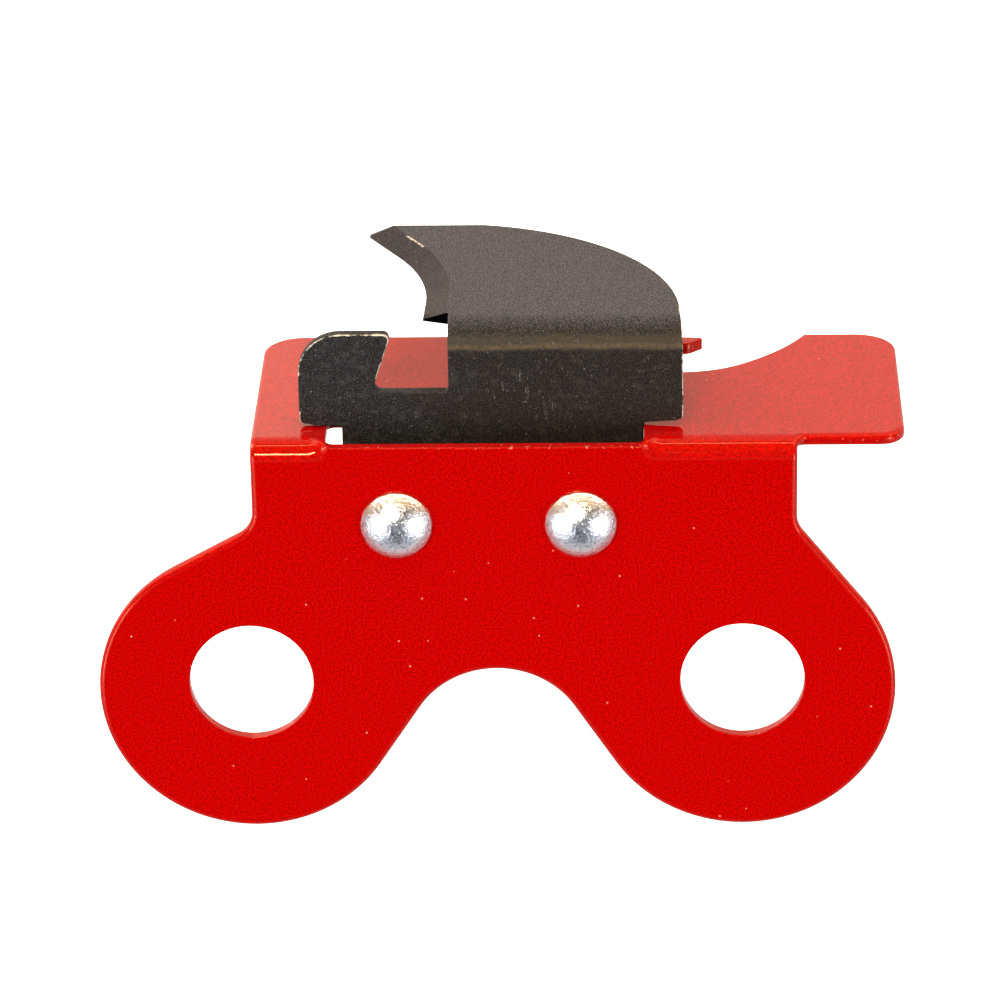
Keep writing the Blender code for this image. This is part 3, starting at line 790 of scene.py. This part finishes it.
def red_paint():
    """Glossy red paint: faint orange peel, fine grain, specks of dust, scuffs, and painted glints along the
    strip's edge.
    """
    made, nodes, shader = new_material("red_paint_look")
    place = nodes.coordinates()
    apart = nodes.add("ShaderNodeSeparateXYZ", {"Vector": place}).outputs
    grain = nodes.noise(place, 3800, 3.0, 0.6)
    drift = nodes.noise(place, 45, 2.0)
    colour = nodes.mix(nodes.ramp(grain, 0.38, 0.62), rgb(0.30, 0.0002, 0.0002), rgb(0.55, 0.0006, 0.0005))
    colour = nodes.mix(nodes.ramp(drift, 0.35, 0.75, 0.0, 0.25), colour, rgb(0.42, 0.0003, 0.0003))

    cells = nodes.add("ShaderNodeTexVoronoi", {"Vector": place, "Scale": 450.0})
    pick = nodes.ramp(cells.outputs["Color"], 0.35, 0.85)
    speck = nodes.math("MULTIPLY", nodes.ramp(cells.outputs["Distance"], 0.03, 0.08, 1.0, 0.0), pick)
    # Painted glints: pale specks on the strip's rounded top edge stand in for the light that edge catches
    glint_level = nodes.band(nodes.math("DIVIDE", apart["Z"], MM), STRIP_GLINT_Z, 0.3, 0.1)
    chips_and_glints = nodes.math("MULTIPLY", nodes.attribute("wear_and_glint"), glint_level)
    chips_and_glints = nodes.math("MULTIPLY", chips_and_glints, nodes.ramp(nodes.noise(place, 1500, 2.0), 0.62, 0.70))
    # Dust specks and the painted glints share one pale colour
    pale = nodes.math("ADD", nodes.math("MULTIPLY", speck, 0.6), nodes.math("MULTIPLY", chips_and_glints, 0.7))
    colour = nodes.mix(pale, colour, rgb(0.95, 0.36, 0.22))

    streaks = nodes.noise(nodes.coordinates((260, 260, 900), (0.3, 0.5, 0.2)), 1.0, 4.0, 0.7)
    patches = nodes.noise(place, 90, 1.0)
    scuff = nodes.math("MULTIPLY", nodes.ramp(streaks, 0.66, 0.78), nodes.ramp(patches, 0.60, 0.70))
    colour = nodes.mix(nodes.math("MULTIPLY", scuff, 0.35), colour, rgb(0.85, 0.10, 0.07))
    nodes.put(colour, shader["Base Color"])

    rough = nodes.ramp(drift, 0.3, 0.8, 0.05, 0.09)
    rough = nodes.math("ADD", rough, nodes.math("MULTIPLY", scuff, 0.25))
    nodes.put(rough, shader["Roughness"])
    nodes.put(1.5, shader["IOR"])
    nodes.put(rgb(1.0, 0.45, 0.25), shader["Specular Tint"])

    peel = nodes.noise(place, 620, 2.0, 0.5)
    height = nodes.math("ADD", nodes.math("MULTIPLY", peel, 0.8), nodes.math("MULTIPLY", grain, 0.14))
    height = nodes.math("ADD", height, nodes.math("MULTIPLY", speck, 0.5))
    bump = nodes.add("ShaderNodeBump", {"Height": height, "Strength": 0.35, "Distance": 0.00002})
    nodes.put(bump.outputs[0], shader["Normal"])
    return made


def black_oxide():
    """Satin black oxide on steel: speckled grain, rubbed edges, painted light on the blade, a painted sheen
    and highlight along its fold, a ground bevel, and painted shade on the blade's thin cut edge.
    """
    made, nodes, shader = new_material("black_oxide_look")
    place = nodes.coordinates()
    apart = nodes.add("ShaderNodeSeparateXYZ", {"Vector": place}).outputs
    across = nodes.math("DIVIDE", apart["X"], MM)
    back = nodes.math("DIVIDE", apart["Y"], MM)
    height = nodes.math("DIVIDE", apart["Z"], MM)

    # Speckle over soft clouds, cooler on the left and browner on the right
    grain = nodes.noise(place, 5200, 2.0, 0.7)
    clumps = nodes.noise(place, 1100, 3.0, 0.6)
    clouds = nodes.noise(place, 160, 3.0)
    chips_and_glints = nodes.noise(place, 1500, 3.0, 0.75)
    speckle = nodes.math("ADD", nodes.ramp(grain, 0.49, 0.62), nodes.ramp(clumps, 0.50, 0.70, 0.0, 0.4))
    cool = nodes.mix(speckle, rgb(0.0010, 0.0008, 0.0010), rgb(0.044, 0.040, 0.042))
    warm = nodes.mix(speckle, rgb(0.0010, 0.0004, 0.0002), rgb(0.037, 0.023, 0.014))
    side = nodes.math("ADD", nodes.ramp(across, *WARM_X), nodes.ramp(clouds, 0.35, 0.65, -0.25, 0.25))
    colour = nodes.mix(side, cool, warm)

    # The blade is painted lighter and greyer than the web, as painted light on its upper face. Along the fold
    # between it and the web a bronze tone is a painted sheen, with a brighter painted highlight line low down
    # that is broken into specks
    on_blade = nodes.ramp(back, *BLADE_LOOK_Y)
    off_blade = nodes.math("SUBTRACT", 1.0, on_blade)
    blade_grain = nodes.ramp(grain, 0.42, 0.62)
    # Painted light: the blade's upper face gets a lighter, greyer copy of the oxide
    lit_blade_colour = nodes.mix(blade_grain, rgb(0.010, 0.008, 0.013), rgb(0.092, 0.078, 0.094))
    colour = nodes.mix(on_blade, colour, lit_blade_colour)
    on_web = nodes.math("MULTIPLY", nodes.ramp(across, *WEB_LOOK_X), off_blade)
    wander = nodes.math("MULTIPLY", nodes.math("SUBTRACT", nodes.noise(place, 260, 2.0), 0.5), 0.7)
    level = nodes.math("ADD", height, wander)
    fold_sheen = nodes.math("MULTIPLY", nodes.band(level, FOLD_SHEEN_Z, 0.75, 0.45), on_web)
    colour = nodes.mix(nodes.math("MULTIPLY", fold_sheen, 0.7), colour, rgb(0.034, 0.018, 0.007))
    fold_highlight = nodes.math("MULTIPLY", nodes.band(level, FOLD_HIGHLIGHT_Z, 0.3, 0.3), on_web)
    broken_fold_highlight = nodes.math("MULTIPLY", fold_highlight, nodes.ramp(chips_and_glints, 0.30, 0.70, 0.25, 1.0))
    colour = nodes.mix(nodes.math("MULTIPLY", broken_fold_highlight, 0.6), colour, rgb(0.14, 0.09, 0.05))

    # Rubbed edges: on the finger, the right side, the lower corners and one stretch of the bevel's ridge
    wear_and_glint = nodes.attribute("wear_and_glint")
    ground = nodes.attribute("ground")
    stretches = nodes.noise(place, 260, 2.0)
    finger = nodes.math("MULTIPLY", nodes.ramp(across, *FINGER_WEAR_X), nodes.ramp(height, *FINGER_WEAR_Z))
    finger = nodes.math("MULTIPLY", finger, off_blade)
    right_side = nodes.math("MULTIPLY", nodes.ramp(across, *RIGHT_WEAR_X), 0.8)
    low_corners = nodes.math("MULTIPLY", nodes.ramp(height, *CORNER_WEAR_Z),
                             nodes.ramp(nodes.math("ABSOLUTE", across), *CORNER_WEAR_X))
    ridge_chip = nodes.math("MULTIPLY", nodes.band(back, RIDGE_CHIP_Y, 2.2, 1.0),
                            nodes.ramp(across, *RIDGE_CHIP_X))
    exposed = nodes.math("MAXIMUM", nodes.math("MAXIMUM", finger, right_side),
                         nodes.math("MAXIMUM", low_corners, ridge_chip))
    rubbed = nodes.math("MULTIPLY", exposed, nodes.ramp(stretches, 0.35, 0.65, 0.28, 0.56))
    rubbed = nodes.math("ADD", rubbed, nodes.math("MULTIPLY", ridge_chip, 0.06))
    rubbed = nodes.math("MULTIPLY", rubbed, wear_and_glint)
    bright = nodes.ramp(nodes.math("ADD", chips_and_glints, rubbed), 0.74, 0.90)
    bright = nodes.math("MULTIPLY", bright, nodes.ramp(wear_and_glint, 0.25, 0.7))

    # Light scratches, the darker bevel, pale flecks, and bare metal where the edges are rubbed
    lines = nodes.noise(nodes.coordinates((2400, 2400, 500), (0.25, 0.0, 0.35)), 1.0, 3.0, 0.7)
    scratched = nodes.math("MULTIPLY", nodes.band(across, SCRATCHED_X, 9.0, 5.0),
                           nodes.band(height, SCRATCHED_Z, 4.5, 2.5))
    scratched = nodes.math("MULTIPLY", scratched, nodes.ramp(nodes.noise(place, 300, 2.0), 0.48, 0.62))
    scratch = nodes.math("MULTIPLY", nodes.ramp(lines, 0.58, 0.70), scratched)
    colour = nodes.mix(nodes.math("MULTIPLY", scratch, 0.5), colour, rgb(0.20, 0.19, 0.18))
    ground_colour = nodes.mix(speckle, rgb(0.003, 0.001, 0.003), rgb(0.042, 0.024, 0.034))
    colour = nodes.mix(ground, colour, ground_colour)
    flecks = nodes.ramp(nodes.noise(place, 3000, 2.0, 0.5), 0.69, 0.77)
    colour = nodes.mix(nodes.math("MULTIPLY", flecks, 0.6), colour, rgb(0.22, 0.20, 0.18))
    colour = nodes.mix(bright, colour, rgb(0.62, 0.54, 0.44))
    nodes.put(nodes.math("MULTIPLY", bright, 0.6), shader["Metallic"])
    nodes.put(1.36, shader["IOR"])

    # Painted shade: the thin edge where the blade is cut free beside the web is painted nearly black, with
    # its reflection turned down
    beside_web = nodes.math("SUBTRACT", across, HOOK_WALL_X)
    from_front = nodes.math("ADD", back, nodes.math("MULTIPLY", beside_web, RELIEF_SLOPE))
    shaded = nodes.math("MULTIPLY", nodes.band(from_front, RELIEF_FRONT, 0.15, 0.05),
                        nodes.ramp(beside_web, 0.1, 0.0))
    unshaded = nodes.math("SUBTRACT", 1.0, shaded)
    nodes.put(nodes.math("MULTIPLY", unshaded, 0.5), shader["Specular IOR Level"])
    nodes.put(nodes.mix(shaded, colour, rgb(0.001, 0.001, 0.002)), shader["Base Color"])

    rough = nodes.ramp(grain, 0.3, 0.7, 0.62, 0.48)
    rough = nodes.math("ADD", rough, nodes.math("MULTIPLY", on_blade, -0.06))
    nodes.put(rough, shader["Roughness"])

    relief = nodes.math("ADD", nodes.math("MULTIPLY", grain, 0.7), nodes.math("MULTIPLY", clumps, 0.6))
    relief = nodes.math("SUBTRACT", relief, nodes.math("MULTIPLY", scratch, 0.5))
    bump = nodes.add("ShaderNodeBump", {"Height": relief, "Strength": 0.9, "Distance": 0.00003})
    nodes.put(bump.outputs[0], shader["Normal"])
    return made


def rivet_metal():
    """Bright rivet metal with turned rings, small dents, darker pits and dull patches."""
    made, nodes, shader = new_material("rivet_metal_look")
    place = nodes.coordinates()
    apart = nodes.add("ShaderNodeSeparateXYZ", {"Vector": place}).outputs
    across = nodes.math("SQRT", nodes.math("ADD", nodes.math("POWER", apart["X"], 2.0),
                                           nodes.math("POWER", apart["Z"], 2.0)))
    around = nodes.add("ShaderNodeCombineXYZ", {"X": across}).outputs[0]
    rings = nodes.noise(around, 5200, 2.0, 0.7)
    dents = nodes.noise(place, 1500, 4.0, 0.7)
    dull = nodes.noise(place, 420, 4.0, 0.7)

    pits = nodes.noise(place, 3200, 2.0, 0.6)
    colour = nodes.mix(nodes.ramp(dull, 0.35, 0.75), rgb(0.95, 0.95, 0.96), rgb(0.80, 0.79, 0.79))
    colour = nodes.mix(nodes.ramp(pits, 0.50, 0.66, 0.0, 0.7), colour, rgb(0.42, 0.40, 0.42))
    nodes.put(colour, shader["Base Color"])
    nodes.put(1.0, shader["Metallic"])
    nodes.put(nodes.ramp(dull, 0.35, 0.8, 0.08, 0.20), shader["Roughness"])

    height = nodes.math("ADD", nodes.math("MULTIPLY", rings, 0.25), dents)
    height = nodes.math("ADD", height, nodes.math("MULTIPLY", pits, -0.4))
    bump = nodes.add("ShaderNodeBump", {"Height": height, "Strength": 1.0, "Distance": 0.0001})
    nodes.put(bump.outputs[0], shader["Normal"])
    return made


# ---------------------------------------------------------------- studio

def studio_light():
    """A white room with soft panels of light, all of it described by direction alone.

    azimuth is measured from the front towards +X, elevation from the horizon, and sweep in the YZ plane
    from the front (0) over straight up (90) to the back (180).
    """
    world = bpy.data.worlds.new("studio")
    world.use_nodes = True
    tree = world.node_tree
    tree.nodes.clear()
    nodes = Nodes(tree)
    toward = nodes.add("ShaderNodeTexCoord").outputs["Generated"]
    apart = nodes.add("ShaderNodeSeparateXYZ", {"Vector": toward}).outputs
    degrees = 180 / math.pi
    forward = nodes.math("MULTIPLY", apart["Y"], -1.0)
    azimuth = nodes.math("MULTIPLY", nodes.math("ARCTAN2", apart["X"], forward), degrees)
    elevation = nodes.math("MULTIPLY", nodes.math("ARCSINE", apart["Z"]), degrees)
    sweep = nodes.math("MULTIPLY", nodes.math("ARCTAN2", apart["Z"], forward), degrees)

    def panel(across, up, centre, half, soft, colour):
        """A soft-edged panel: a colour times a mask in two angles."""
        mask = 1.0
        for angle, middle, reach in zip((across, up), centre, half):
            offset = nodes.math("ABSOLUTE", nodes.math("SUBTRACT", angle, middle))
            mask = nodes.math("MULTIPLY", mask, nodes.ramp(offset, reach - soft, reach + soft, 1.0, 0.0))
        return nodes.mix(mask, rgb(0, 0, 0), rgb(*colour))

    def combine(operation, a, b):
        return nodes.add("ShaderNodeVectorMath", {0: a, 1: b}, operation=operation).outputs[0]

    # The room's colour along the sweep: below, in front, high in front, above and behind
    behind = nodes.mix(nodes.ramp(apart["X"], -0.068, -0.046), rgb(1.50, 1.32, 1.08), rgb(0.98, 0.88, 0.72))
    light = rgb(0.80, 0.76, 0.72)
    for start, end, colour in (
        (-92, -70, rgb(0.47, 0.49, 0.56)),
        (-12, 4, rgb(0.22, 0.21, 0.21)),
        (34, 48, rgb(0.62, 0.37, 0.14)),
        (84, 96, rgb(1.3, 1.2, 1.05)),
        (98, 150, behind),
    ):
        light = nodes.mix(nodes.ramp(sweep, start, end), light, colour)

    # Two darker patches below the front
    for centre, half, share in (((-1.0, -25.0), (22.0, 12.0), 0.90), ((1.0, -50.0), (22.0, 9.0), 0.80)):
        dark = panel(azimuth, elevation, centre, half, 5.0, (share, share, share))
        light = combine("MULTIPLY", light, combine("SUBTRACT", (1, 1, 1), dark))

    panels = {
        "key": (azimuth, elevation, (-12.0, 29.5), (10.0, 3.5), 1.5, (56, 58, 46)),
        "overhead": (apart["X"], sweep, (0.0, 79.5), (0.5, 2.4), 0.8, (12.5, 10, 7.3)),
        "left": (azimuth, elevation, (-48.0, -12.0), (17.0, 20.0), 5.0, (1.8, 1.85, 1.95)),
        "right": (azimuth, elevation, (50.0, -12.0), (17.0, 20.0), 5.0, (1.8, 1.85, 1.95)),
        "high_left": (azimuth, elevation, (-90.0, 52.0), (28.0, 16.0), 6.0, (1.7, 1.7, 1.7)),
        "high_right": (azimuth, elevation, (90.0, 52.0), (28.0, 16.0), 6.0, (1.2, 1.2, 1.2)),
        "strip_left": (azimuth, elevation, (-48.0, -8.0), (3.0, 14.0), 1.5, (17, 17, 18)),
        "strip_right": (azimuth, elevation, (51.0, -8.0), (3.0, 14.0), 1.5, (13, 13, 14)),
    }
    for settings in panels.values():
        light = combine("ADD", light, panel(*settings))

    # The camera sees plain white in its place
    seen = nodes.add("ShaderNodeLightPath").outputs["Is Camera Ray"]
    shown = nodes.mix(seen, light, rgb(1.2, 1.2, 1.2))
    background = nodes.add("ShaderNodeBackground", {"Color": shown, "Strength": 1.0})
    nodes.add("ShaderNodeOutputWorld", {"Surface": background.outputs[0]})
    world.cycles.sampling_method = "MANUAL"
    world.cycles.sample_map_resolution = 1024
    bpy.context.scene.world = world


def make_floor():
    """A wide plain floor that shows as white. The light that comes up from below is the studio's own."""
    bpy.ops.mesh.primitive_plane_add(size=FLOOR_SIZE, location=(0, 0, FLOOR_HEIGHT))
    floor = bpy.context.active_object
    floor.name = "studio_floor"
    made, nodes, shader = new_material("pale_floor")
    nodes.put(rgb(0.85, 0.85, 0.85), shader["Base Color"])
    nodes.put(0.9, shader["Roughness"])
    nodes.put(rgb(1, 1, 1), shader["Emission Color"])
    nodes.put(1.0, shader["Emission Strength"])
    made.cycles.emission_sampling = "NONE"
    floor.data.materials.append(made)
    floor.visible_glossy = False
    floor.visible_diffuse = False
    floor.visible_shadow = False


def make_camera():
    """The camera, placed from the drawing's datum."""
    position = DATUM + Vector(CAMERA_POSITION) * MM
    ahead = Vector(CAMERA_AHEAD).normalized()
    roll = math.radians(CAMERA_ROLL)
    level = ahead.cross(Vector((0, 0, 1))).normalized()
    upright = level.cross(ahead)
    right = math.cos(roll) * level + math.sin(roll) * upright
    up = math.cos(roll) * upright - math.sin(roll) * level
    data = bpy.data.cameras.new("camera")
    data.lens = CAMERA_LENS
    data.sensor_width = CAMERA_SENSOR
    data.clip_start = 0.01
    data.clip_end = 100
    camera = bpy.data.objects.new("camera", data)
    bpy.context.scene.collection.objects.link(camera)
    turn = camera.matrix_world.copy()
    for i, axis in enumerate((right, up, -ahead)):
        for j in range(3):
            turn[j][i] = axis[j]
    turn.translation = position
    camera.matrix_world = turn
    bpy.context.scene.camera = camera


# ---------------------------------------------------------------- the scene

make_camera()
studio_light()
make_floor()
bpy.context.scene.view_settings.view_transform = "Standard"

PIECES = (
    (make_bracket(), "bracket", "red_paint", red_paint()),
    (make_hook_plate(), "hook_plate", "black_oxide", black_oxide()),
)
for piece, node, slot, look in PIECES:
    piece.data.materials.append(look)
    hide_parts(node)
    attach(piece, "root")

rivet_look = rivet_metal()
for node, x in RIVET_X.items():
    piece = make_rivet("bright_" + node, x)
    piece.data.materials.append(rivet_look)
    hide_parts(node)
    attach(piece, "root")
